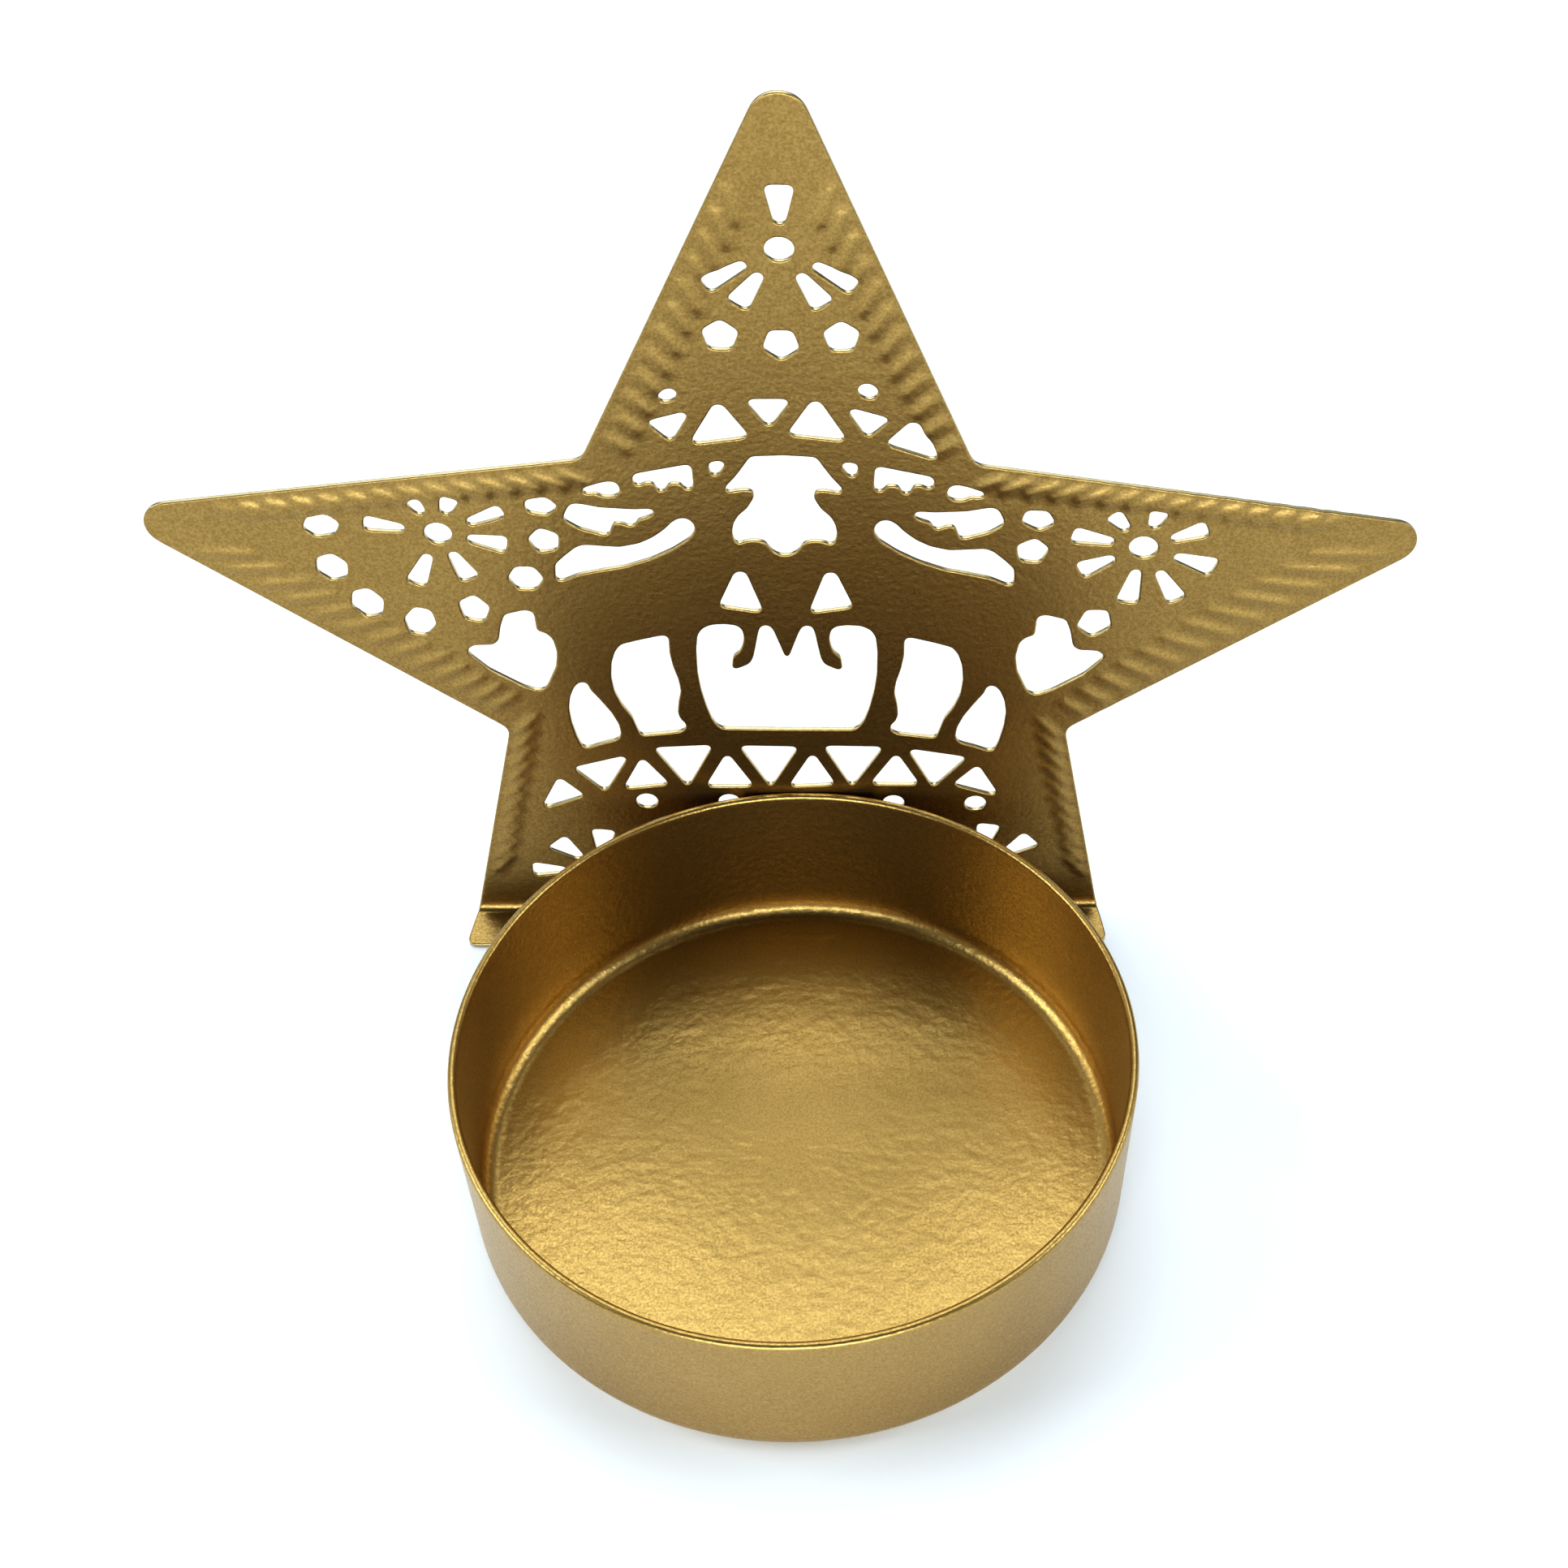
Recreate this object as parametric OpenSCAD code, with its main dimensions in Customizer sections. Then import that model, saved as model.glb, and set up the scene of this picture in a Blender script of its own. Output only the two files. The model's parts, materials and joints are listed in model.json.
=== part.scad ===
// Tealight holder: a pierced five-pointed star panel standing behind a shallow round cup.
// Millimetres, +Z up. The cup's axis is the Z axis and the table is z = 0.
// The front is -Y: the cup is in front and the star panel is behind it.

/* [Cup] */
// Outside radius of the cup at its rim
cup_r = 21.5; // [15:0.1:40]
// Outside radius of the wall just above the base corner
cup_base_r = 21.35; // [15:0.1:40]
// Radius of the straight seat that the tealight drops into
seat_r = 20.95; // [14:0.05:39]
// Height of the cup
cup_h = 12.5; // [8:0.5:25]
// Thickness of the cup's floor
floor_t = 0.5; // [0.3:0.1:2]
// Radius of the corner between floor and wall, inside
floor_fillet = 0.9; // [0.3:0.1:3]

/* [Star panel] */
// Thickness of the star's sheet
sheet_t = 0.35; // [0.2:0.05:1.5]
// Height of the star's middle above the table
star_z = 24.15; // [20:0.05:40]
// Sideways offset of the star from the cup's axis
star_x = -0.56; // [-3:0.02:3]
// Turn of the star in its own plane, clockwise as seen from the front, in degrees
star_turn = 1.1; // [-3:0.1:3]
// Height of the sharp top point above the star's middle
top_rise = 43.2; // [30:0.1:60]
// Half the distance between the sharp side points
side_reach = 41.6; // [30:0.1:60]
// Height of the side points above the star's middle
side_rise = 12.35; // [5:0.05:20]
// Radius of the rounded points
tip_r = 1.7; // [0.5:0.1:4]
// Radius in the valleys between the arms
valley_r = 0.9; // [0.2:0.1:3]

/* [Pressed border] */
// Radius of one pressed rib
rib_r = 0.6; // [0.3:0.01:0.8]
// How far a rib stands out of the front face
rib_proud = 0.18; // [0.1:0.01:0.4]

/* [Feet] */
// Length of the two tabs folded forward on the table
foot_len = 3.4; // [1:0.1:6]
// Distance of a foot's inner end from the star's centre line
foot_in = 12; // [11:0.5:18]
// Outside radius of the fold
fold_r = 0.9; // [0.6:0.1:2]

/* [Solder] */
// Distance of each solder seam from the line where the cup touches the star
seam_x = 3.2; // [2:0.1:6]
// Height at which the solder seams start
seam_z = 5.6; // [4:0.1:8]
// Length of a solder seam
seam_len = 5.4; // [2:0.1:8]
// Radius of a solder seam
seam_r = 0.75; // [0.5:0.05:1.2]

/* [Hidden] */
eps = 0.01;
front_y = cup_r;                    // the panel's front face touches the rim
top_tip = [0.15, top_rise];         // sharp point of the top arm
valley_up_left = [-12.05, 16.75];   // valleys beside the top arm
valley_up_right = [11.45, 16.7];
valley_side_left = [-18.65, -5.85]; // valleys above the legs
valley_side_right = [18.6, -5.45];
leg_tip_left = [-25.25, -35];       // sharp points that the legs' edges aim at
leg_tip_right = [24.7, -35];
valley_low = [0, -20.1];            // valley between the legs
side_lift = 0.22;                   // the left point is higher and the right one lower by this
side_shift = 0.17;                  // both side points sit this far to the right
hole_round = 0.27;                  // radius of the corners of the pierced holes
web_round = 0.12;                   // and of the corners between two holes
petal_neck = 0.6;                   // width of a petal's narrow end
rim_ease = 0.12;                    // eased edges of the cup's rim
corner_r = floor_fillet + floor_t - 0.1;    // outside radius of the cup's base corner
foot_round = 0.5;                   // corners of the feet
foot_flare = 0.215;                 // how much a foot widens, for each millimetre of its length
gold = [0.72, 0.56, 0.27];
gold_dark = [0.62, 0.47, 0.2];
solder_grey = [0.66, 0.62, 0.5];

// ---------- helpers ----------

// an arc as points: centre, radius, start angle, end angle, number of steps
function arc(c, r, a0, a1, n = 6) =
    [for (i = [0:n]) c + r * [cos(a0 + (a1 - a0) * i / n), sin(a0 + (a1 - a0) * i / n)]];

// a half outline closed by its own mirror image
function both_halves(pts) = concat(pts, [for (i = [len(pts) - 1:-1:0]) [-pts[i].x, pts[i].y]]);

// a petal: narrow at p, w wide at q
module petal(p, q, w) {
    d = (q - p) / norm(q - p);
    n = [-d.y, d.x];
    polygon([p + petal_neck / 2 * n, p - petal_neck / 2 * n, q - w / 2 * n, q + w / 2 * n]);
}

// petals around a centre, each [angle, start radius, end radius, end width]
module petals(c, list) {
    for (k = list) {
        dir = [cos(k[0]), sin(k[0])];
        petal(c + k[1] * dir, c + k[2] * dir, k[3]);
    }
}

// a small hand-cut hole: a softened polygon with n sides
module pebble(c, rx, ry, a = 0, n = 6) {
    translate(c)
        rotate(a)
            scale([rx, ry])
                circle(r = 1.08, $fn = n);
}

module on_both_sides() {
    children();
    mirror([1, 0])
        children();
}

// ---------- the star's outline ----------

module star_outline() {
    offset(r = -valley_r, $fn = 48)
        offset(delta = valley_r)
            offset(r = tip_r, $fn = 64)
                offset(delta = -tip_r)
                    polygon([top_tip, valley_up_right,
                        [side_shift + side_reach, side_rise - side_lift],
                        valley_side_right, leg_tip_right, valley_low, leg_tip_left, valley_side_left,
                        [side_shift - side_reach, side_rise + side_lift], valley_up_left]);
}

// ---------- the pierced pattern ----------

module top_arm_holes() {
    petal([0.05, 32.9], [0.05, 35.3], 1.75);
    pebble([0, 31.35], 0.8, 0.73, 0, 16);
    on_both_sides() {
        petal([1.85, 30.4], [4.2, 28.95], 1.2);
        petal([1.05, 29.8], [2.45, 27.7], 1.5);
        pebble([3.45, 25.65], 1.05, 1.05, 20, 5);
    }
    pebble([0, 25.15], 1.05, 1.05, -90, 5);
    pebble([-6.65, 21.5], 0.57, 0.42, 30, 12);
    pebble([5, 21.95], 0.6, 0.5, -30, 12);
}

// the row of triangles under the top arm
module crown_triangles() {
    polygon([[-8.1, 19.6], [-5.3, 20.5], [-6.6, 18.1]]);
    polygon([[-5.6, 17.95], [-1.9, 18.55], [-3.5, 20.9], [-4, 20.9]]);
    polygon([[-2.25, 21.3], [0.6, 21.35], [-0.8, 19.2]]);
    polygon([[0.2, 18.75], [3.9, 18.3], [2.2, 21.2], [1.7, 21.2]]);
    polygon([[3.6, 20.9], [6.45, 20], [5, 18.55]]);
    polygon([[6, 18.15], [9.4, 16.9], [8.9, 18.2], [8.35, 19], [8.05, 19.7], [7.5, 19.8]]);
}

module left_arm_holes() {
    c = [-21.25, 11];
    pebble(c, 0.8, 0.78, 0, 16);
    petals(c, [[170, 2, 4.5, 1.2], [117, 1.65, 2.9, 1], [69, 1.6, 3, 1.25], [24, 2.05, 4.5, 1.05],
        [-12, 1.75, 4.2, 1.45], [-67, 1.6, 4, 1.4], [-115, 1.85, 4.55, 1.35]]);
    pebble([-28.3, 11.5], 1.12, 0.85, 10);
    pebble([-28.15, 8.2], 0.98, 1.08, 20);
    pebble([-26.4, 5.3], 1, 1.2, 15);
    pebble([-23.3, 3.75], 0.95, 1.22, -15);
    pebble([-19.75, 4.85], 0.95, 1.15, 10, 5);
    pebble([-16.25, 7.45], 1.05, 1);
    pebble([-14.8, 13.2], 1.05, 0.7, 0, 5);
    pebble([-14.8, 10.5], 0.98, 0.98, 30, 5);
}

module right_arm_holes() {
    c = [22.25, 10.45];
    pebble(c, 0.88, 0.8, -30, 16);
    petals(c, [[168, 1.9, 4.6, 1.3], [130, 1.75, 3.35, 1.2], [75, 1.55, 2.95, 1.35], [22, 1.75, 4.1, 1.35],
        [-19, 2.1, 4.9, 1.6], [-59, 2.2, 5.05, 1.35], [-97.5, 1.8, 4.6, 1.5], [-153, 1.9, 4.3, 1.5]]);
    pebble([15.55, 12.55], 1.08, 0.78, -15, 5);
    pebble([15.35, 10.05], 1.02, 1, 10, 5);
    pebble([19.75, 4.2], 1.08, 1.2, -20, 5);
}

// the space over and between the two facing heads
module heads_opening() {
    polygon(both_halves([[0, 17.25], [1.95, 17.15], [2.3, 16.55], [2.9, 15.6], [3.5, 14.85], [4.05, 14.3],
        [3.8, 14.2], [2.9, 14.55], [2.2, 14.65], [1.8, 14.45], [1.8, 14.05], [2.25, 13.2], [2.8, 12.65],
        [3.1, 12.05], [3.22, 11.35], [3.1, 10.6], [2.85, 10.35], [2.4, 10.65], [1.65, 10.7], [1.15, 10.5],
        [0.85, 9.95], [0.45, 9.6], [0, 9.5]]));
}

// antlers, backs, chests and tails, the same on both animals
module animal_holes() {
    polygon([[3.25, 16.85], [4.5, 16.7], [4.4, 15.9], [4.15, 15.35]]);
    polygon([[5.5, 16.55], [7, 16.2], [8.95, 15.75], [9.12, 15.3], [8.9, 14.75], [8.65, 14.75],
        [8.45, 15.05],
        [7.9, 15.1], [7.72, 14.85], [7.6, 14.3], [7.25, 14.3], [7.05, 14.85], [6.85, 15.05], [6.2, 15.05],
        [5.98, 14.65], [5.65, 14.45], [5.45, 14.9]]);
    polygon([[9.9, 14.75], [10.1, 15.12], [10.6, 15.15], [11.8, 14.8], [12.4, 14.42], [12.1, 14.1],
        [11.35, 14.25], [11, 13.98], [10.25, 13.98], [9.9, 14.3]]);
    polygon([[7.7, 13.12], [9.2, 13.03], [11.2, 13.15], [12.3, 13.4], [12.85, 13.45], [13.15, 13.15],
        [13.55, 12.2], [12.6, 11.5], [11.3, 11.05], [10.75, 10.95], [10.65, 11.6], [10.4, 11.98],
        [10.05, 11.98],
        [9.5, 11.72], [9.2, 11.65], [9, 12.2], [8.3, 12.45], [7.75, 12.75]]);
    polygon([[5.48, 11.5], [5.6, 12.05], [5.95, 12.38], [6.4, 12.4], [6.85, 12.1], [7.35, 11.5],
        [8.1, 10.85],
        [9, 10.35], [10.2, 10.05], [11.4, 10.13], [12.45, 10.2], [12.95, 9.97], [13.7, 9.25], [14.3, 8.6],
        [14.38, 7.4], [14.1, 7.2], [12.9, 7.8], [11.5, 8.15], [10, 8.47], [8.3, 9.15], [7, 9.9],
        [5.85, 10.8]]);
    polygon([[1.42, 4.75], [4.3, 5.25], [3.15, 8.15], [2.5, 8.15]]);
    polygon([[16.05, 4.65], [16.6, 4.78], [17.9, 4.4], [18.25, 3.4], [18.5, 2.15], [18.9, 1.78],
        [20.2, 1.72],
        [20.7, 1.25], [20.4, 0.8], [19.4, -0.4], [17.4, -1.85], [16.6, -2.2], [16.1, -2.2], [15.8, -1.9],
        [15.05, -0.1], [14.88, 1.2], [15.05, 2.35], [15.4, 2.8], [16, 3.05]]);
}

// the big opening between the forelegs, with two raised hoofs and a spike hanging into it
module forelegs_opening() {
    polygon(both_halves([[0, -5.68], [4.4, -5.65], [4.8, -5.3], [5.1, -4.7], [5.42, -3.5], [5.7, -2],
        [5.85, -0.5], [5.85, 1.5], [5.72, 2.75], [5.4, 3.35], [4.8, 3.68], [4, 3.75], [3.2, 3.65],
        [2.85, 3.3],
        [2.75, 2.55], [2.9, 1.75], [3.15, 1.25], [3.5, 1], [3.62, -0.1], [3.3, -0.17], [2.45, 0.3],
        [2.2, 0.8], [2, 1.9], [1.83, 2.95], [1.65, 3.65], [1.1, 3.7], [0.85, 3.25], [0.5, 2.15],
        [0.18, 1.1],
        [0, 0.85]]));
}

module hind_leg_holes() {
    polygon([[7.6, 2.75], [8.1, 2.7], [9.5, 2.3], [10.7, 1.9], [11.1, 1.3], [11.4, 0.3], [11.52, -1],
        [11.4, -2.3], [11, -3.5], [10.4, -4.6], [10.18, -5.5], [9.95, -6.35], [9.4, -6.3], [7.3, -6],
        [6.85, -5.7], [6.85, -5.2], [7.2, -4.8], [7.35, -4.2], [7.25, -3.2], [7.05, -2.2], [7.15, -1.2],
        [7.45, 0], [7.62, 1.2]]);
    polygon([[13.15, -1.5], [13.6, -1.45], [14, -1.9], [14.35, -2.8], [14.52, -3.9], [14.45, -5.2],
        [14.2, -6.6], [13.95, -7.5], [13.5, -7.55], [12.6, -7.15], [11.45, -6.75], [11.25, -6.2],
        [11.35, -5.3], [11.75, -4.25], [12.45, -3], [13, -2.15]]);
}

// the bottom band: triangles pointing down and up in turn, with a row of dots under it
module band_holes() {
    polygon([[-14.8, -9.5], [-10.8, -8.2], [-12.7, -11.9]]);
    polygon([[-9.2, -7.5], [-5.1, -7.2], [-7, -11.4]]);
    polygon([[-3.4, -7.25], [0.7, -7.3], [-1.3, -11.4]]);
    polygon([[2.3, -7.2], [6.45, -7.25], [4.3, -11.3]]);
    polygon([[8, -7.4], [12.2, -8.2], [9.9, -11.25]]);
    polygon([[-15.8, -10.4], [-14.1, -12.3], [-17.35, -13.7]]);
    polygon([[-10, -8.4], [-8.2, -11.1], [-11.5, -11.6]]);
    polygon([[-4.2, -7.9], [-2.4, -11.25], [-5.8, -11.3]]);
    polygon([[1.6, -7.8], [3.2, -11], [-0.1, -11.25]]);
    polygon([[7.3, -7.8], [9, -10.95], [5.5, -10.95]]);
    polygon([[12.9, -8.9], [14.6, -12.1], [11.2, -10.9]]);
    for (k = [0:4])
        pebble([-9.9 + 5.7 * k, -12.75], 0.72, 0.7, 0, 12);
}

// rosettes on the legs: only their outer petals show above the cup
module leg_holes() {
    left = [-13.6, -20.1];
    pebble(left, 0.8, 0.8, 0, 16);
    petals(left, [[178, 2.5, 4.9, 1.5], [134, 1.9, 4.3, 2], [84, 1.8, 4.4, 1.75], [40, 2, 4.4, 1.5],
        [0, 2, 4.4, 1.4]]);
    right = [13.3, -19.7];
    pebble(right, 0.8, 0.8, 0, 16);
    petals(right, [[-5, 1.8, 4, 1.4], [41, 2.25, 5.05, 1.9], [82, 2, 4.85, 1.75], [140, 2, 4.4, 1.5],
        [180, 2, 4.4, 1.4]]);
}

module all_holes() {
    offset(r = -web_round, $fn = 8)
        offset(delta = web_round)
            offset(r = hole_round, $fn = 10)
                offset(delta = -hole_round) {
                    top_arm_holes();
                    crown_triangles();
                    left_arm_holes();
                    right_arm_holes();
                    heads_opening();
                    on_both_sides()
                        animal_holes();
                    forelegs_opening();
                    on_both_sides()
                        hind_leg_holes();
                    band_holes();
                    leg_holes();
                }
}

// ---------- pressed ribs along the edges ----------

// a rib's cross-section: a low arc on a root that reaches the middle of the sheet
module rib_section() {
    rise = asin(1 - rib_proud / rib_r);
    half = rib_r * cos(rise);
    polygon(concat([[half, -sheet_t / 2]], arc([0, rib_proud - rib_r], rib_r, rise, 180 - rise, 4),
        [[-half, -sheet_t / 2]]));
}

// n ribs from edge point a to edge point b, starting a gap away from the edge; angle and length run from
// the first value to the second, and spread above 0 sets the ribs closer together at a than at b
module rib_row(a, b, n, ang, length, gap, spread = 0) {
    along = (b - a) / norm(b - a);
    for (i = [0:n - 1]) {
        t = (1 - spread) * i / (n - 1) + spread * pow(i / (n - 1), 2);
        dir = ang[0] + (ang[1] - ang[0]) * t;
        l = length[0] + (length[1] - length[0]) * t;
        across = abs(along.x * sin(dir) - along.y * cos(dir));
        p = a + (b - a) * t + gap / across * [cos(dir), sin(dir)];
        translate([p.x, p.y, 0])
            rotate([0, 0, dir])
                rotate([90, 0, 90])
                    linear_extrude(l)
                        rib_section();
    }
}

module ribs_one_side() {
    rib_row([10.8, 18.9], [3.1, 36.2], 12, [222, 256], [1.9, 2.7], 0.5);
    rib_row([14.4, 16.3], [36, 13.25], 14, [206, 194], [2.4, 3.2], 0.5);
    rib_row([18.95, -6.9], [21.9, -21.1], 10, [133, 128], [2.6, 2.8], 0.5);
}

module ribs() {
    ribs_one_side();
    mirror([1, 0, 0])
        ribs_one_side();
    // the lower edges of the side arms, where the right arm's ribs are longer
    rib_row([20.3, -4.35], [38.6, 10.1], 12, [145, 180], [2.4, 5.4], 0.4, 0.15);
    mirror([1, 0, 0])
        rib_row([20.3, -4.35], [37.6, 9.3], 13, [145, 180], [2.4, 4], 0.7, 0.25);
}

// ---------- the parts ----------

// lays star coordinates upright: drawing x stays x, drawing y becomes height, +z becomes forward
module stand_up() {
    translate([star_x, front_y, star_z])
        rotate([90, 0, 0])
            rotate([0, 0, -star_turn])
                children();
}

// where a leg's outer edge, from its valley towards its sharp tip, meets the fold
function fold_x(valley, tip) =
    let (v = fold_r - star_z + 0.9 * tip.x * sin(star_turn),
        u = valley.x + (tip.x - valley.x) * (valley.y - v) / (valley.y - tip.y))
    star_x + u * cos(star_turn) + v * sin(star_turn);

// a foot: the fold and the tab that lies on the table, from the leg's outer edge inwards
module foot(side, outer_x) {
    inner_x = star_x - star_z * sin(star_turn) + side * foot_in;
    w = abs(outer_x - inner_x);
    flare = foot_flare * foot_len;
    turn_c = [front_y - fold_r + sheet_t, fold_r];
    translate([inner_x, 0, 0])
        mirror([side < 0 ? 1 : 0, 0, 0]) {
            difference() {
                translate([0, turn_c.x, turn_c.y])
                    rotate([0, 90, 0])
                        cylinder(r = fold_r, h = w, $fn = 48);
                translate([-1, turn_c.x, turn_c.y])
                    rotate([0, 90, 0])
                        cylinder(r = fold_r - sheet_t, h = w + 2, $fn = 48);
                translate([-1, turn_c.x - 2, turn_c.y])
                    cube([w + 2, 4, 2]);
                translate([-1, turn_c.x - 2, -eps])
                    cube([w + 2, 2, 2]);
            }
            linear_extrude(sheet_t)
                offset(r = foot_round, $fn = 24)
                    offset(delta = -foot_round)
                        polygon([[0, turn_c.x + eps], [w, turn_c.x + eps],
                            [w + flare, front_y - foot_len], [0, front_y - foot_len]]);
        }
}

module star_panel() {
    color(gold) {
        difference() {
            union() {
                difference() {
                    stand_up()
                        translate([0, 0, -sheet_t])
                            linear_extrude(sheet_t)
                                star_outline();
                    // the legs end where the fold starts
                    translate([-50, front_y - 5, -20])
                        cube([100, 10, 20 + fold_r]);
                }
                stand_up()
                    ribs();
            }
            stand_up()
                translate([0, 0, -sheet_t - 1])
                    linear_extrude(sheet_t + 2)
                        all_holes();
        }
        foot(1, fold_x(valley_side_right, leg_tip_right));
        foot(-1, fold_x(valley_side_left, leg_tip_left));
    }
}

module tealight_cup() {
    color(gold_dark)
        rotate_extrude($fn = 144)
            polygon(concat(
                [[0, 0]],
                arc([cup_base_r - corner_r, corner_r], corner_r, -90, 0),
                [[cup_r, cup_h - rim_ease], [cup_r - rim_ease, cup_h],
                    [seat_r + rim_ease, cup_h], [seat_r, cup_h - rim_ease]],
                arc([seat_r - floor_fillet, floor_t + floor_fillet], floor_fillet, 0, -90),
                [[0, floor_t]]));
}

// solder run down the narrow gap between the cup's wall and the panel
module solder_seam(side) {
    color(solder_grey)
        difference() {
            translate([side * seam_x, front_y - 0.15, seam_z]) {
                cylinder(r = seam_r, h = seam_len, $fn = 32);
                sphere(r = seam_r, $fn = 32);
                translate([0, 0, seam_len])
                    sphere(r = seam_r, $fn = 32);
            }
            translate([-20, front_y, 0])
                cube([40, 4, 20]);
            rotate_extrude($fn = 144)
                polygon([[0, -1], [cup_base_r, -1], [cup_base_r, corner_r],
                    [cup_r, cup_h - rim_ease], [cup_r, 20], [0, 20]]);
        }
}

module solder_seam_left() {
    solder_seam(-1);
}

module solder_seam_right() {
    solder_seam(1);
}

star_panel();
tealight_cup();
solder_seam_left();
solder_seam_right();
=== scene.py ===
import json
import math

import bmesh
import bpy
import numpy as np
from mathutils import Matrix, Vector, geometry, noise
from mathutils.bvhtree import BVHTree
from mathutils.kdtree import KDTree


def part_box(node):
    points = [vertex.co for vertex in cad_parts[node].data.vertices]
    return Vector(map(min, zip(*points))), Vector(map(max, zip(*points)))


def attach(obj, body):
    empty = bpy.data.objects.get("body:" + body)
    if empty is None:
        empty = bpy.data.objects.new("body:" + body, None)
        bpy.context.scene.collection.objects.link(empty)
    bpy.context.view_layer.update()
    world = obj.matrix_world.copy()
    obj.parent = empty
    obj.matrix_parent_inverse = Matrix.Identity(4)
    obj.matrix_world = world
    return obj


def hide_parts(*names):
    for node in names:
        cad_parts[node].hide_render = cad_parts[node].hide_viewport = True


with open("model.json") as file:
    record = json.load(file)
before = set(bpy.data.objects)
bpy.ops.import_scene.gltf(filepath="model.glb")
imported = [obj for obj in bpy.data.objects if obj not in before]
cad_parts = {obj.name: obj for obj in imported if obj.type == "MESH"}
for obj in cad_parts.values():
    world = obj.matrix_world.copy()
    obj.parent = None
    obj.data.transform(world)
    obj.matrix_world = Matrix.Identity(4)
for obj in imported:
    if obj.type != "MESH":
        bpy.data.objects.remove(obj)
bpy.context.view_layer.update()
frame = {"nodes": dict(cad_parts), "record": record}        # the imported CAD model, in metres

MM = 0.001
star_node = frame["nodes"]["star_panel"]
cup_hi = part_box("tealight_cup")[1]
star_lo, star_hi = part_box("star_panel")
FRONT = cup_hi.y         # in metres, like the next two: the sheet's front face touches the cup's rim
BACK = star_hi.y
SHEET = BACK - FRONT


# ---------------------------------------------------------------- mesh helpers

def new_object(name, verts, faces, smooth=True, second=()):
    """a mesh object facing outwards; the faces numbered in second take its second material"""
    mesh = bpy.data.meshes.new(name)
    mesh.from_pydata([tuple(v) for v in verts], [], faces)
    bm = bmesh.new()
    bm.from_mesh(mesh)
    bm.faces.ensure_lookup_table()
    for k in second:
        bm.faces[k].material_index = 1
    if len(faces) > 1:
        bmesh.ops.recalc_face_normals(bm, faces=bm.faces)
    for f in bm.faces:
        f.smooth = smooth
    bm.to_mesh(mesh)
    bm.free()
    obj = bpy.data.objects.new(name, mesh)
    bpy.context.scene.collection.objects.link(obj)
    return obj


def resample(loop, step, passes):
    """a closed loop as evenly spaced points, softened by a few averaging passes"""
    p = np.array(loop, float)
    seg = np.linalg.norm(np.roll(p, -1, 0) - p, axis=1)
    s = np.concatenate([[0], np.cumsum(seg)])
    n = max(16, int(round(s[-1] / step)))
    t = np.arange(n) * s[-1] / n
    q = np.concatenate([p, p[:1]])
    out = np.stack([np.interp(t, s, q[:, 0]), np.interp(t, s, q[:, 1])], 1)
    for _ in range(passes):
        out = (np.roll(out, 1, 0) + 2 * out + np.roll(out, -1, 0)) / 4
    return out


def signed_area(p):
    """area inside a closed loop of points, positive when it runs anticlockwise"""
    return 0.5 * float(np.sum(p[:, 0] * np.roll(p[:, 1], -1) - p[:, 1] * np.roll(p[:, 0], -1)))


def inset(p, d, steps=1):
    """moves a closed loop by d to its left, which is where the sheet is, easing tight corners"""
    for _ in range(steps):
        t = np.roll(p, -1, 0) - np.roll(p, 1, 0)
        t /= np.linalg.norm(t, axis=1)[:, None]
        p = p + d / steps * np.stack([-t[:, 1], t[:, 0]], 1)
        if steps > 1:
            p = (np.roll(p, 1, 0) + 6 * p + np.roll(p, -1, 0)) / 8
    return p


def inside_triangles(loops, extra):
    """triangles between closed loops (sheet on the left of each), with extra points inside"""
    coords, edges, start = [], [], 0
    for loop in loops:
        n = len(loop)
        coords += [Vector(p) for p in loop]
        edges += [(start + i, start + (i + 1) % n) for i in range(n)]
        start += n
    coords += [Vector(p) for p in extra]
    _, _, faces, origin, _, _ = geometry.delaunay_2d_cdt(coords, edges, [], 0, 1e-6)
    back_to = {}
    for out_i, ins in enumerate(origin):
        for i in ins:
            back_to[i] = out_i
    to_input = {o: i for i, o in back_to.items()}
    rim = {(back_to[a], back_to[b]) for a, b in edges}
    owner = {}
    for k, f in enumerate(faces):
        for a, b in zip(f, f[1:] + f[:1]):
            owner[(a, b)] = k
    keep, todo = set(), [owner[e] for e in rim if e in owner]
    while todo:
        k = todo.pop()
        if k in keep:
            continue
        keep.add(k)
        f = faces[k]
        for a, b in zip(f, f[1:] + f[:1]):
            if (a, b) not in rim and (b, a) in owner:
                todo.append(owner[(b, a)])
    return [tuple(to_input[i] for i in faces[k]) for k in sorted(keep)]


# ---------------------------------------------------------------- the star panel

def back_face_loops():
    """the sheet's outline and its holes, read from the CAD node's flat back face, in mm"""
    bm = bmesh.new()
    bm.from_mesh(star_node.data)
    bmesh.ops.remove_doubles(bm, verts=bm.verts, dist=1e-6)
    # a dict and not a set, so that every run takes the faces in the same order
    back = dict.fromkeys(f for f in bm.faces if all(abs(v.co.y - BACK) < 2e-6 for v in f.verts))
    step = {}
    for f in back:
        for l in f.loops:
            if sum(g in back for g in l.edge.link_faces) == 1:
                step.setdefault(l.vert.index, []).append(l.link_loop_next.vert.index)
    where = {v.index: (v.co.x / MM, v.co.z / MM) for v in bm.verts}
    bm.free()
    loops = []
    while step:
        first = here = next(iter(step))
        loop = []
        while True:
            loop.append(where[here])
            after = step[here].pop()
            if not step[here]:
                del step[here]
            here = after
            if here == first:
                break
        loops.append(loop)
    return sorted(loops, key=lambda p: -abs(signed_area(np.array(p))))


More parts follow.
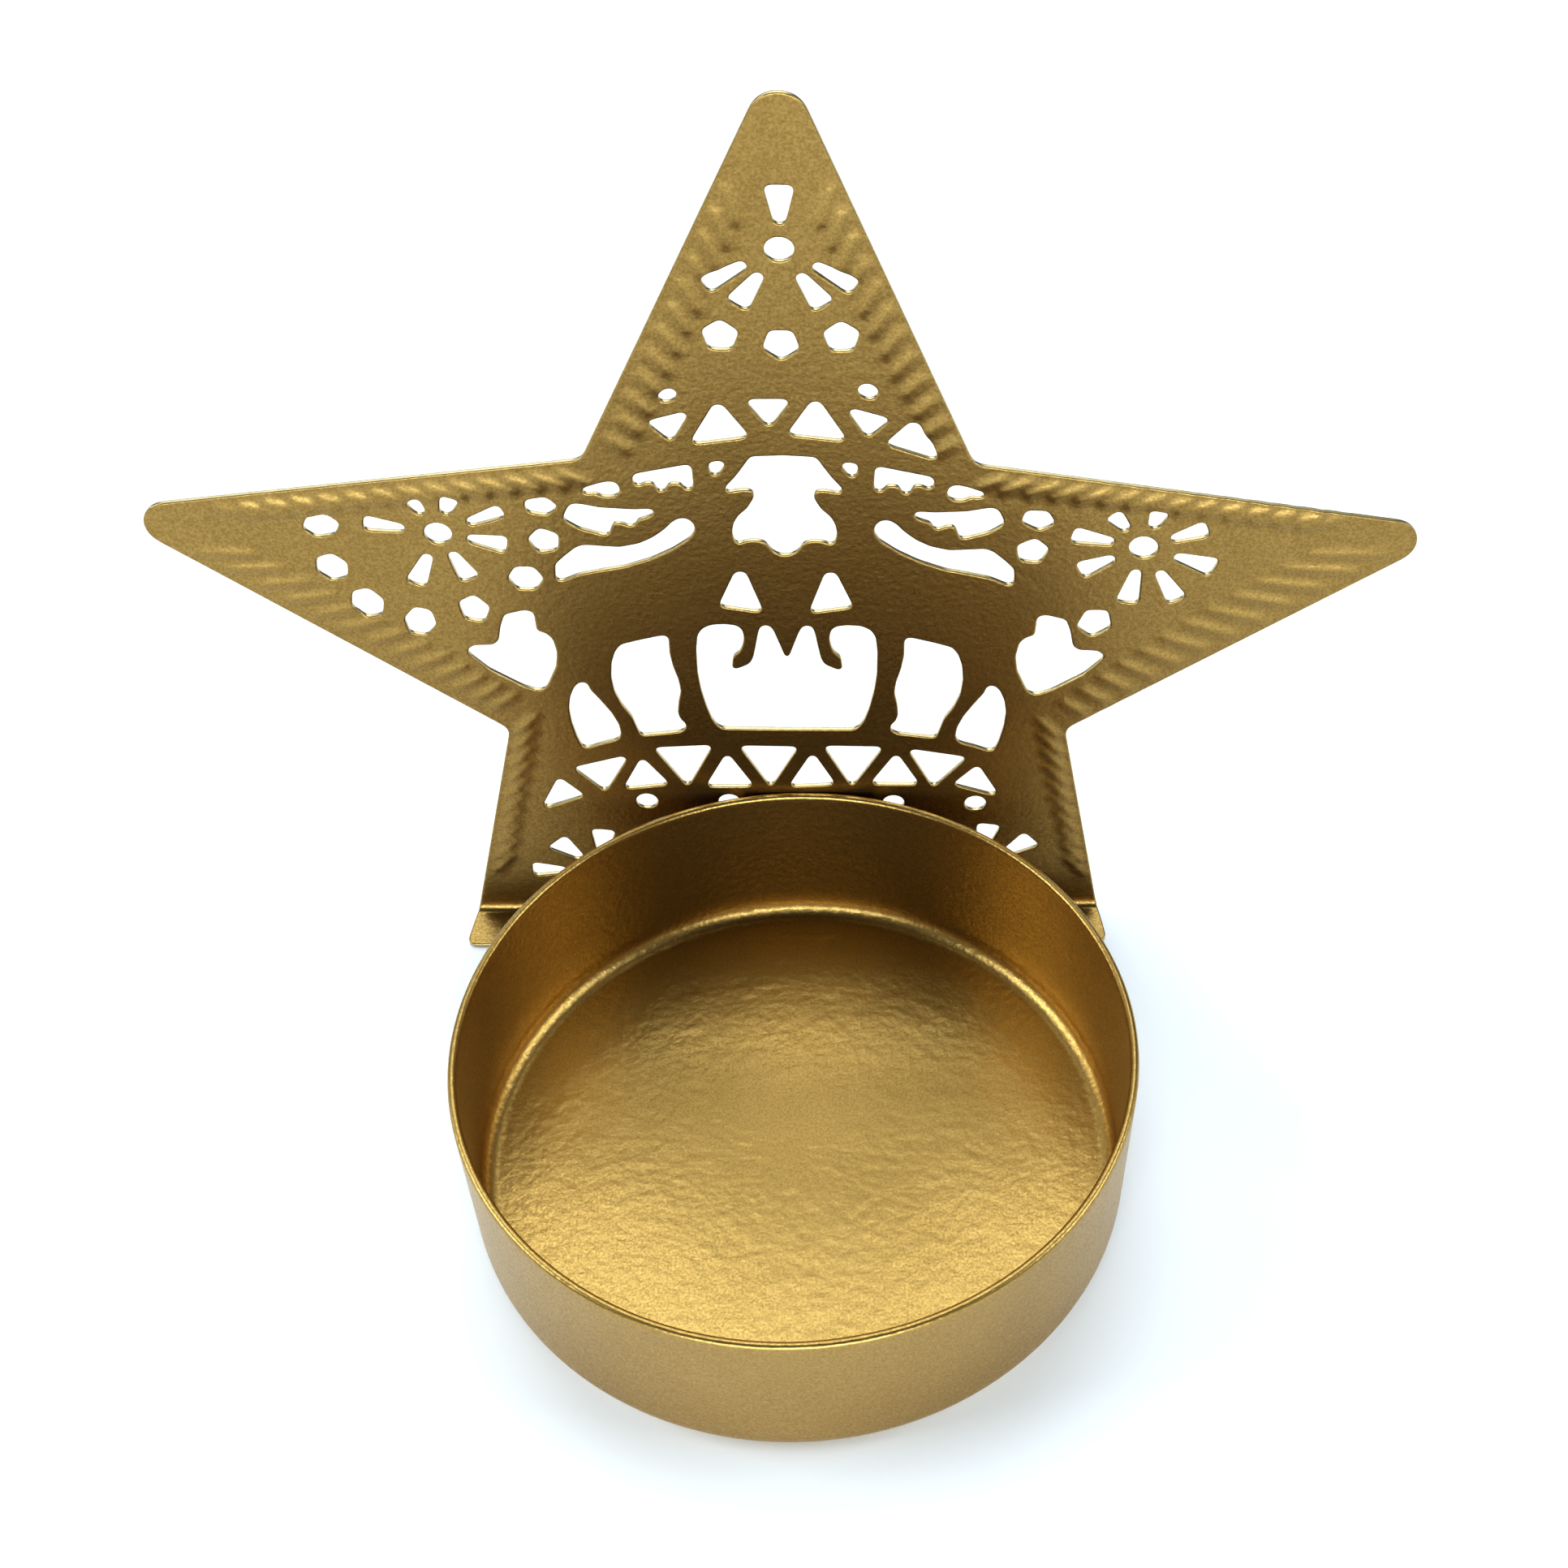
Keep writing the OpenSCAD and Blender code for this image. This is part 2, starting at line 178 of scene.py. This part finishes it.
loops = back_face_loops()
T = SHEET / MM
FOLD = min(z for _, z in loops[0])     # height where the legs start to fold = outer bend radius
ARC = FOLD * math.pi / 2               # length of the fold, measured along the back face
TAB_ROUND = 0.5                        # the tabs' rounded corners start this far from the corner
TAB_CUT = 0.15                         # and pass this far inside it
TAB_FLARE = 0.6                        # share of the tab's extra width that is reached halfway down
back_y = BACK / MM


def with_feet(loop):
    """the outline with the two folded tabs laid out flat below the fold line"""
    tabs = [v.co / MM for v in star_node.data.vertices if v.co.y < FRONT - MM]
    drop = FOLD - ARC - (back_y - FOLD - min(c.y for c in tabs))
    if signed_area(np.array(loop)) < 0:
        loop = loop[::-1]
    low = [abs(z - FOLD) < 1e-3 for _, z in loop]
    start = next(i for i in range(len(loop)) if not low[i] and low[(i + 1) % len(loop)])
    loop = loop[start:] + loop[:start]
    out, run = [], []
    for p in loop + [None]:
        if p is not None and abs(p[1] - FOLD) < 1e-3:
            run.append(p)
            continue
        if run:
            side = 1 if sum(q[0] for q in run) > 0 else -1
            xs = [c.x for c in tabs if c.x * side > 0]
            a, b = run[0], run[-1]
            outer, inner = max(xs, key=abs), min(xs, key=abs)
            edge = max((a, b), key=lambda q: abs(q[0]))
            far = min((a, b), key=lambda q: abs(q[0]))
            flare = edge[0] * (1 - TAB_FLARE) + outer * TAB_FLARE
            tab = [edge, (flare, (FOLD + drop) / 2), (outer, drop + TAB_ROUND),
                   (outer - TAB_CUT * side, drop + TAB_CUT), (outer - TAB_ROUND * side, drop),
                   (inner + TAB_ROUND * side, drop), (inner + TAB_CUT * side, drop + TAB_CUT),
                   (inner, drop + TAB_ROUND), (inner, FOLD), far]
            out += tab if abs(a[0]) > abs(b[0]) else tab[::-1]
            run = []
        if p is not None:
            out.append(p)
    return out


def bend(x, s, d):
    """flat sheet to room: s is the height laid out flat, d the distance in front of the back face"""
    if s >= FOLD:
        return Vector((x, back_y - d, s)) * MM
    along = FOLD - s
    if along < ARC:
        a = along / FOLD
        return Vector((x, back_y - FOLD + (FOLD - d) * math.cos(a), FOLD - (FOLD - d) * math.sin(a))) * MM
    return Vector((x, back_y - FOLD - (along - ARC), d)) * MM


RIB_SOFT = 0.21          # how far the pressing spreads a rib's edges, in mm
RIB_WAVE = 0.65          # and how far the sheet around a row of ribs gives way, in mm
RIB_GAIN = 1.5           # factor on the height of the blurred ribs
RIB_SINK = 0.6           # share of the wide blur that the sheet sinks by
ROW_FULL = 0.085         # mean height well inside a row of ribs, in mm: the ribs fade out below it
RAY_START = 2 * MM       # the rays that read the ribs start this far in front of the sheet
RAY_REACH = 3.5 * MM
tree = BVHTree.FromObject(star_node, bpy.context.evaluated_depsgraph_get())


def cad_height(x, z):
    """how far the CAD's pressed ribs stand out of the front face at a point, in mm"""
    if z < FOLD + 0.1:                 # the folded feet have no ribs
        return 0.0
    source = Vector((x * MM, FRONT - RAY_START, z * MM))
    hit = tree.ray_cast(source, Vector((0, 1, 0)), RAY_REACH)[0]
    return max(0.0, (FRONT - hit.y) / MM) if hit else 0.0


def blur(grid, sigma):
    """gaussian blur, sigma in grid steps"""
    reach = int(3 * sigma) + 1
    k = np.exp(-0.5 * (np.arange(-reach, reach + 1) / sigma) ** 2)
    k /= k.sum()
    for axis in (0, 1):
        grid = np.apply_along_axis(np.convolve, axis, grid, k, "same")
    return grid


GRID = 0.13              # pitch of the relief map
MARGIN = 1.0             # and how far it reaches past the sheet
x_low, z_low = star_lo.x / MM - MARGIN, -MARGIN


def relief_map():
    """the CAD's ribs as soft waves that fade out at their ends, a little sunk between two ribs"""
    nx = int((star_hi.x / MM + MARGIN - x_low) / GRID)
    nz = int((star_hi.z / MM + MARGIN - z_low) / GRID)
    sharp = np.array([[cad_height(x_low + i * GRID, z_low + j * GRID) for i in range(nx)]
                      for j in range(nz)])
    wide = blur(sharp, RIB_WAVE / GRID)
    ribs = blur(sharp, RIB_SOFT / GRID) * RIB_GAIN * np.clip(wide / ROW_FULL, 0, 1)
    return ribs - wide * RIB_SINK


relief = relief_map()


def soft_height(x, z):
    """the wavy relief at a point of the sheet, between the points of the map"""
    i, j = (x - x_low) / GRID, max(0.0, (z - z_low) / GRID)
    a, b = int(i), int(j)
    u, w = i - a, j - b
    near = relief[b:b + 2, a:a + 2]
    low = (1 - u) * near[0, 0] + u * near[0, 1]
    high = (1 - u) * near[1, 0] + u * near[1, 1]
    return float((1 - w) * low + w * high)


EDGE = 0.09                  # radius of the eased edges of the cut sheet
FLAT_INSET = EDGE + 0.05     # the flat faces' mesh starts this far inside the cut
RIM_STEP = 0.2               # spacing of the points along the outline
HOLE_STEP = 0.13             # and along the holes
PITCH = 0.19                 # and of the triangular grid between them
ROW = PITCH * 0.866          # its rows' spacing: the triangles are equilateral
CLEAR = 0.07                 # grid points closer to a loop than this are left out
NEAR = 0.28                  # and all within this distance are kept
RELIEF = 0.012               # further in, one in nine will do where the relief is lower than this


def loops_and_fill():
    """the softened loops, the same loops moved in onto the flat face, and the points between them"""
    soft = []
    for k, loop in enumerate([with_feet(loops[0])] + loops[1:]):
        p = resample(loop, RIM_STEP, 2) if k == 0 else resample(loop, HOLE_STEP, 3)
        if (signed_area(p) > 0) != (k == 0):
            p = p[::-1]
        soft.append(p)
    flat = [inset(p, FLAT_INSET, 5) for p in soft]
    near = KDTree(sum(map(len, flat)))
    for n, q in enumerate(q for p in flat for q in p):
        near.insert((q[0], q[1], 0), n)
    near.balance()
    lo, hi = flat[0].min(0), flat[0].max(0)
    a = np.concatenate(flat)
    b = np.concatenate([np.roll(p, -1, 0) for p in flat])
    extra = []
    for j in range(1, int((hi[1] - lo[1]) / ROW) + 1):
        z = lo[1] + j * ROW
        cut = (a[:, 1] > z) != (b[:, 1] > z)
        xs = np.sort(a[cut, 0] + (z - a[cut, 1]) * (b[cut, 0] - a[cut, 0]) / (b[cut, 1] - a[cut, 1]))
        shift = (j % 2) / 2
        for x0, x1 in zip(xs[::2], xs[1::2]):
            first = math.ceil((x0 - lo[0]) / PITCH - shift)
            last = math.floor((x1 - lo[0]) / PITCH - shift)
            for i in range(first, last + 1):
                x = lo[0] + (i + shift) * PITCH
                gap = near.find((x, z, 0))[2]
                if gap < CLEAR:
                    continue
                coarse = i % 3 == 0 and j % 3 == 0
                bent = z < FOLD + 0.2 and i % 2 == 0      # more of them where the feet fold
                if coarse or bent or gap < NEAR or abs(soft_height(x, z)) > RELIEF:
                    extra.append((x, z))
    return soft, flat, extra


def edge_profile():
    """the rings of the cut edge from front to back: eased corners with a narrow flat between them

    Each ring is given by its distance inside the cut and its distance in front of the back face.
    """
    front = [(EDGE, T)]
    for a in map(math.radians, (30, 60, 90)):
        front.append((EDGE * (1 - math.sin(a)), T - EDGE * (1 - math.cos(a))))
    return front + [(i, T - d) for i, d in reversed(front)]


def build_star():
    """the sheet's front, back and cut edges, and the numbers of the faces in the middle of the cut"""
    soft_loops, flat_loops, extra = loops_and_fill()
    points = [tuple(q) for p in flat_loops for q in p] + extra
    tris = inside_triangles(flat_loops, extra)
    height = [soft_height(x, z) for x, z in points]
    verts = [bend(x, z, T + h) for (x, z), h in zip(points, height)]
    n_front = len(verts)
    verts += [bend(x, z, max(0.0, h)) for (x, z), h in zip(points, height)]
    faces = tris + [(n_front + c, n_front + b, n_front + a) for a, b, c in tris]
    profile = edge_profile()
    middle = len(profile) // 2
    cut_faces = []
    start = 0
    for p, soft in zip(flat_loops, soft_loops):
        n = len(p)
        rings = [[start + i for i in range(n)]]
        for inward, d in profile:
            q = inset(soft, inward)
            base = len(verts)
            wave = [max(h, 0.0) + min(h, 0.0) * d / T for h in height[start:start + n]]
            verts += [bend(x, z, d + wave[i]) for i, (x, z) in enumerate(q)]
            rings.append([base + i for i in range(n)])
        rings.append([n_front + start + i for i in range(n)])
        for k, (a, b) in enumerate(zip(rings, rings[1:])):
            if abs(k - middle) <= 1:
                cut_faces += range(len(faces), len(faces) + n)
            faces += [(a[i], b[i], b[(i + 1) % n], a[(i + 1) % n]) for i in range(n)]
        start += n
    return verts, faces, cut_faces


verts, faces, cut_faces = build_star()
star = new_object("star_sheet", verts, faces, second=cut_faces)
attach(star, "root")
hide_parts("star_panel")


# ---------------------------------------------------------------- the cup

seat = next(m for m in frame["record"]["mounts"] if m["name"] == "seat")
SEAT = seat["dims"]["r_mm"]
CUP = cup_hi.x / MM      # radius at the rim
TALL = cup_hi.z / MM
FLOOR = 0.5              # thickness of the floor
BASE = CUP - 0.15        # radius at the foot: the wall opens slightly
ROUND = 1.2              # inside corner
THINNED = 0.1            # how much thinner than the floor the drawn corner is
AROUND = 288             # points around
RING = 0.25              # spacing of the rings of points on the floor
FLAT_RIM = 0.2           # the floor's relief starts this far in from the corner
DENT = 0.042             # height of the floor's relief
DENT_SINK = 0.03         # and how much it lies below the flat floor


def turn(profile, n):
    """closed lathe of (radius, height) points, both ends on the axis"""
    verts, faces, rings = [], [], []
    for r, z in profile:
        if r < 1e-6:
            rings.append([len(verts)])
            verts.append(Vector((0, 0, z)) * MM)
            continue
        rings.append(list(range(len(verts), len(verts) + n)))
        verts += [Vector((r * math.cos(2 * math.pi * k / n), r * math.sin(2 * math.pi * k / n), z)) * MM
                  for k in range(n)]
    for a, b in zip(rings, rings[1:]):
        for k in range(n):
            m = (k + 1) % n
            if len(a) == 1:
                faces.append((a[0], b[k], b[m]))
            elif len(b) == 1:
                faces.append((a[k], b[0], a[m]))
            else:
                faces.append((a[k], b[k], b[m], a[m]))
    return verts, faces


def corner(c, r, a0, a1, n):
    """n + 1 points of an arc about c, from a0 to a1 degrees"""
    return [(c[0] + r * math.cos(math.radians(a0 + (a1 - a0) * k / n)),
             c[1] + r * math.sin(math.radians(a0 + (a1 - a0) * k / n))) for k in range(n + 1)]


def build_cup():
    """the drawn cup as one turned profile, with a fine hammered relief in its floor

    Extra rings of points on the straight stretches keep the smooth shading even.
    """
    outer_r = ROUND + FLOOR - THINNED
    rim = (CUP - SEAT) / 2
    base = [(0, 0)] + [(r, 0) for r in (5, 10, 15, 19, BASE - outer_r - 0.1)]
    base += corner((BASE - outer_r, outer_r), outer_r, -90, 0, 10)
    wall_h = TALL - rim - outer_r
    wall = [(BASE + (CUP - BASE) * t, outer_r + wall_h * t) for t in (0.1, 0.35, 0.65, 0.95)]
    top = corner((CUP - rim, TALL - rim), rim, 0, 180, 12)
    inner = [(SEAT, z) for z in (TALL - rim - 0.4, 9, 6, 3, FLOOR + ROUND + 0.15)]
    low = corner((SEAT - ROUND, FLOOR + ROUND), ROUND, 0, -90, 10)
    floor_r = SEAT - ROUND
    steps = int(floor_r / RING)
    floor = [(floor_r * (1 - k / steps), FLOOR) for k in range(1, steps)] + [(0, FLOOR)]
    verts, faces = turn(base + wall + top + inner + low + floor, AROUND)
    for v in verts:
        x, y, z = v / MM
        r = math.hypot(x, y)
        if abs(z - FLOOR) < 1e-6 and r < floor_r - FLAT_RIM:
            fade = min(1.0, floor_r - FLAT_RIM - r)
            q = Vector((x * 0.95 + y * 0.2, y * 1.6, 3.7))   # longer from left to right
            dent = noise.noise(q) * 0.5 + noise.noise(q * 2.1) * 0.5
            v.z += (DENT * fade * dent - DENT_SINK * fade) * MM
    return verts, faces


verts, faces = build_cup()
cup = new_object("cup_drawn", verts, faces)
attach(cup, "root")
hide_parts("tealight_cup")


# ---------------------------------------------------------------- materials

FLAKE = 0.16             # size of the paint's flakes
PATCH = 6.0              # and of its lighter and darker patches


def paint(name, light, dark, rough, peel, peel_size, grain=0.5):
    """satin metallic paint: fine flake, soft patches and an orange-peel surface; peel sizes in mm"""
    mat = bpy.data.materials.new(name)
    mat.use_nodes = True
    nt = mat.node_tree
    nt.nodes.clear()
    out = nt.nodes.new("ShaderNodeOutputMaterial")
    bsdf = nt.nodes.new("ShaderNodeBsdfPrincipled")
    nt.links.new(bsdf.outputs[0], out.inputs[0])
    bsdf.inputs["Metallic"].default_value = 1.0
    coord = nt.nodes.new("ShaderNodeTexCoord")

    def tex(size, detail, seed):
        """noise with features of about size, in mm"""
        m = nt.nodes.new("ShaderNodeMapping")
        m.inputs["Location"].default_value = (seed, seed * 0.7, seed * 1.3)
        m.inputs["Scale"].default_value = (1 / (size * MM),) * 3
        nt.links.new(coord.outputs["Object"], m.inputs["Vector"])
        t = nt.nodes.new("ShaderNodeTexNoise")
        t.inputs["Scale"].default_value = 1.0
        t.inputs["Detail"].default_value = detail
        nt.links.new(m.outputs[0], t.inputs["Vector"])
        return t.outputs["Fac"]

    def ramp(src, a, b):
        """noise, which mostly lies between 0.3 and 0.7, spread from a to b"""
        r = nt.nodes.new("ShaderNodeMapRange")
        r.inputs["From Min"].default_value = 0.3
        r.inputs["From Max"].default_value = 0.7
        r.inputs["To Min"].default_value = a
        r.inputs["To Max"].default_value = b
        nt.links.new(src, r.inputs["Value"])
        return r.outputs["Result"]

    flake = tex(FLAKE, 1.0, 3.1)
    patch = tex(PATCH, 3.0, 8.4)
    mix_f = nt.nodes.new("ShaderNodeMath")
    mix_f.operation = "ADD"
    nt.links.new(ramp(flake, -grain / 2, grain / 2), mix_f.inputs[0])
    nt.links.new(ramp(patch, 0.35, 0.65), mix_f.inputs[1])
    col = nt.nodes.new("ShaderNodeMix")
    col.data_type = "RGBA"
    col.inputs["A"].default_value = (*dark, 1)
    col.inputs["B"].default_value = (*light, 1)
    nt.links.new(mix_f.outputs[0], col.inputs["Factor"])
    nt.links.new(col.outputs["Result"], bsdf.inputs["Base Color"])
    nt.links.new(ramp(flake, rough + 0.05, rough - 0.05), bsdf.inputs["Roughness"])
    bump = nt.nodes.new("ShaderNodeBump")
    bump.inputs["Strength"].default_value = 1.0
    bump.inputs["Distance"].default_value = peel * MM
    nt.links.new(tex(peel_size, 2.0, 1.7), bump.inputs["Height"])
    nt.links.new(bump.outputs[0], bsdf.inputs["Normal"])
    return mat


star_paint = paint("star_paint", (0.36, 0.228, 0.073), (0.26, 0.157, 0.046),
                   rough=0.36, peel=0.025, peel_size=0.35, grain=1.1)
cut_edge = paint("cut_edge", (0.6, 0.47, 0.26), (0.44, 0.33, 0.16),
                 rough=0.34, peel=0.01, peel_size=0.3)
cup_paint = paint("cup_paint", (0.464, 0.295, 0.094), (0.353, 0.218, 0.064),
                  rough=0.36, peel=0.035, peel_size=0.5, grain=1.0)
solder_paint = paint("solder_paint", (0.42, 0.31, 0.14), (0.33, 0.24, 0.1),
                     rough=0.5, peel=0.03, peel_size=0.6)
star.data.materials.append(star_paint)
star.data.materials.append(cut_edge)
cup.data.materials.append(cup_paint)
for name in ("solder_seam_left", "solder_seam_right"):
    node = frame["nodes"][name]
    node.data.materials.clear()
    node.data.materials.append(solder_paint)
    node.data.polygons.foreach_set("use_smooth", [True] * len(node.data.polygons))


# ---------------------------------------------------------------- floor, light and camera

REACH = 1.1              # half the floor's side, in metres
LOW = -0.02 * MM         # the floor lies a hair under the object


def white_floor():
    """one large matt white square"""
    corners = [(x * REACH, y * REACH, LOW) for x, y in ((-1, -1), (1, -1), (1, 1), (-1, 1))]
    obj = new_object("floor", corners, [(0, 1, 2, 3)], smooth=False)
    mat = bpy.data.materials.new("floor_white")
    mat.use_nodes = True
    matt = mat.node_tree.nodes["Principled BSDF"]
    matt.inputs["Base Color"].default_value = (0.95, 0.95, 0.95, 1)
    matt.inputs["Roughness"].default_value = 0.9
    matt.inputs["Specular IOR Level"].default_value = 0.1
    obj.data.materials.append(mat)
    return obj


def studio_world():
    """a dim, warm room for the object to mirror, and a pale backdrop for the camera to see"""
    world = bpy.data.worlds.new("studio")
    world.use_nodes = True
    nt = world.node_tree
    room = nt.nodes["Background"]
    room.inputs["Color"].default_value = (1.0, 0.68, 0.4, 1)
    room.inputs["Strength"].default_value = 0.03
    backdrop = nt.nodes.new("ShaderNodeBackground")
    backdrop.inputs["Color"].default_value = (0.9, 0.9, 0.9, 1)
    rays = nt.nodes.new("ShaderNodeLightPath")
    either = nt.nodes.new("ShaderNodeMixShader")
    nt.links.new(rays.outputs["Is Camera Ray"], either.inputs[0])
    nt.links.new(room.outputs[0], either.inputs[1])
    nt.links.new(backdrop.outputs[0], either.inputs[2])
    nt.links.new(either.outputs[0], nt.nodes["World Output"].inputs[0])
    return world


def softbox(name, place, aim, size, power, color):
    """a rectangular lamp at place, facing aim, in metres and watts"""
    data = bpy.data.lights.new(name, "AREA")
    data.shape = "RECTANGLE"
    data.size, data.size_y = size
    data.energy = power
    data.color = color
    obj = bpy.data.objects.new(name, data)
    bpy.context.scene.collection.objects.link(obj)
    obj.location = place
    obj.rotation_euler = (Vector(aim) - Vector(place)).to_track_quat("-Z", "Y").to_euler()


# the photograph's camera: where it stands, and how it is turned about, tipped down and rolled
CAMERA_AT = (5.12, -83.47, 122.36)
TURN, DOWN, ROLL = math.radians(-1.20), math.radians(46.97), math.radians(0.51)


def photo_camera():
    """the camera fitted to the photograph, its picture a little off the lens axis"""
    data = bpy.data.cameras.new("camera")
    data.sensor_width = 36
    data.lens = 50.42
    data.shift_x = -0.0782
    data.shift_y = 0.0207
    data.clip_start = 0.01
    data.clip_end = 20
    back = Vector((math.sin(TURN) * math.cos(DOWN), -math.cos(TURN) * math.cos(DOWN), math.sin(DOWN)))
    level = Vector((math.cos(TURN), math.sin(TURN), 0))
    steep = back.cross(level)
    right = level * math.cos(ROLL) + steep * math.sin(ROLL)
    up = steep * math.cos(ROLL) - level * math.sin(ROLL)
    view = Matrix((right, up, back)).transposed().to_4x4()
    view.translation = Vector(CAMERA_AT) * MM
    obj = bpy.data.objects.new("camera", data)
    bpy.context.scene.collection.objects.link(obj)
    obj.matrix_world = view
    return obj


floor = white_floor()
scene = bpy.context.scene
scene.world = studio_world()
scene.camera = photo_camera()
scene.view_settings.view_transform = "Standard"
scene.view_settings.look = "Medium High Contrast"

COOL = (0.78, 0.9, 1.0)  # the lamps' slightly blue white
softbox("top_back", (0, 0.25, 0.75), (0, 0, 0), (0.5, 0.4), 2.2, COOL)
softbox("behind", (-0.1, 0.6, 0.55), (0, 0, 0.02), (0.9, 0.6), 3.9, COOL)
softbox("left", (-0.75, 0, 0.45), (0, 0, 0), (0.5, 0.5), 4.9, COOL)
softbox("right", (0.75, 0, 0.45), (0, 0, 0), (0.5, 0.5), 3.7, COOL)
softbox("front_low", (0, -0.8, 0.22), (0, 0, 0.02), (0.9, 0.35), 8.5, COOL)
